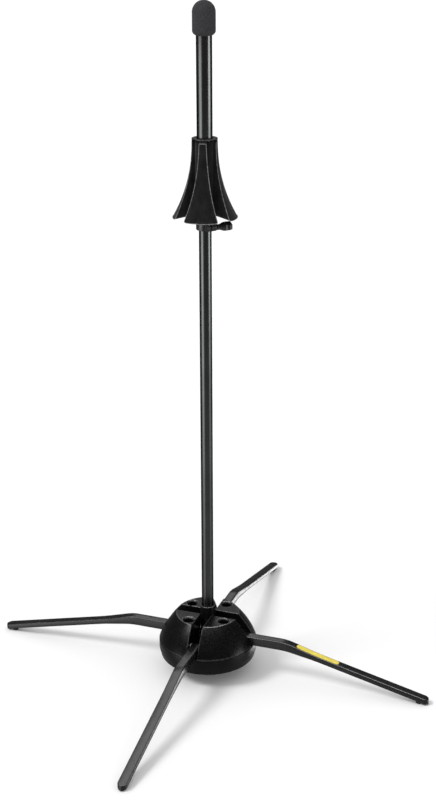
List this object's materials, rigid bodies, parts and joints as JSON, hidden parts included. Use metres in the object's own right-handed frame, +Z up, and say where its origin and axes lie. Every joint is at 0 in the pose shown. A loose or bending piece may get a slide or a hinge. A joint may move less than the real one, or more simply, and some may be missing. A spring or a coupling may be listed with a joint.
{
  "type": "in-bell brass instrument stand",
  "caption": "Floor stand for a brass instrument: telescoping mast with foam nose, flared bell cone, wing-screw clamp and legs folding up into a round slotted base.",
  "frame": {"origin": "on the mast's axis, at the floor plane under the feet", "axes": "+Z up along the mast, +X along leg 1 (the leg with the label), +Y along leg 2"},
  "size_m": [0.4986, 0.4986, 0.72],
  "materials": {
    "tube_black": "satin black, faintly green-grey",
    "leg_black": "glossy black paint",
    "base_plastic": "fine-grained matte black",
    "crown_plastic": "satin black",
    "clamp_plastic": "satin black",
    "flock": "black flocked surface on plastic",
    "foam": "dark grey closed-cell foam",
    "rubber": "matte black",
    "nylon": "natural nylon",
    "zinc_steel": "zinc plated",
    "label": "plain yellow film"
  },
  "bodies": {
    "base": {"base_dome": "base_plastic", "base_tray": "base_plastic", "bottom_cover": "base_plastic", "dome_screw_1": "zinc_steel", "dome_screw_2": "zinc_steel", "dome_screw_3": "zinc_steel", "dome_screw_4": "zinc_steel", "dome_nut_1": "zinc_steel", "dome_nut_2": "zinc_steel", "dome_nut_3": "zinc_steel", "dome_nut_4": "zinc_steel", "bolt_washer": "zinc_steel", "centre_bolt": "zinc_steel", "tube_insert": "zinc_steel", "lower_tube": "tube_black", "tube_end_plug": "nylon", "leg_1_pin": "zinc_steel", "leg_1_washer_left": "nylon", "leg_1_washer_right": "nylon", "leg_2_pin": "zinc_steel", "leg_2_washer_left": "nylon", "leg_2_washer_right": "nylon", "leg_3_pin": "zinc_steel", "leg_3_washer_left": "nylon", "leg_3_washer_right": "nylon", "leg_4_pin": "zinc_steel", "leg_4_washer_left": "nylon", "leg_4_washer_right": "nylon"},
    "leg_1_body": {"leg_1": "leg_black", "leg_1_foot": "rubber", "leg_label": "label"},
    "leg_2_body": {"leg_2": "leg_black", "leg_2_foot": "rubber"},
    "leg_3_body": {"leg_3": "leg_black", "leg_3_foot": "rubber"},
    "leg_4_body": {"leg_4": "leg_black", "leg_4_foot": "rubber"},
    "bush": {"guide_bush": "nylon"},
    "mast": {"upper_tube": "tube_black", "foam_nose": "foam", "crown_ring": "crown_plastic", "cone_hub": "flock", "petal_1": "flock", "petal_2": "flock", "petal_3": "flock", "petal_4": "flock", "clamp_collar": "clamp_plastic"},
    "wing": {"clamp_screw": "zinc_steel", "wing_knob": "clamp_plastic"}
  },
  "joints": [
    {"name": "leg_1_fold", "type": "hinge", "parent": "base", "child": "leg_1_body", "pos_m": [0.038, 0, 0.0416], "axis": [0, -1, 0], "range_deg": [0, 105]},
    {"name": "leg_2_fold", "type": "hinge", "parent": "base", "child": "leg_2_body", "pos_m": [0, 0.038, 0.0416], "axis": [1, 0, 0], "range_deg": [0, 105]},
    {"name": "leg_3_fold", "type": "hinge", "parent": "base", "child": "leg_3_body", "pos_m": [-0.038, 0, 0.0416], "axis": [0, 1, 0], "range_deg": [0, 105]},
    {"name": "leg_4_fold", "type": "hinge", "parent": "base", "child": "leg_4_body", "pos_m": [0, -0.038, 0.0416], "axis": [-1, 0, 0], "range_deg": [0, 105]},
    {"name": "mast_height", "type": "slide", "parent": "base", "child": "bush", "axis": [0, 0, 1], "range_m": [-0.14, 0]},
    {"name": "mast_swivel", "type": "hinge", "parent": "bush", "child": "mast", "pos_m": [0, 0, 0.5018], "axis": [0, 0, 1], "continuous": true},
    {"name": "clamp_turn", "type": "hinge", "parent": "mast", "child": "wing", "pos_m": [0.00792, -0.00749, 0.5018], "axis": [0.6871, 0.7266, 0], "range_deg": [0, 540]}
  ]
}
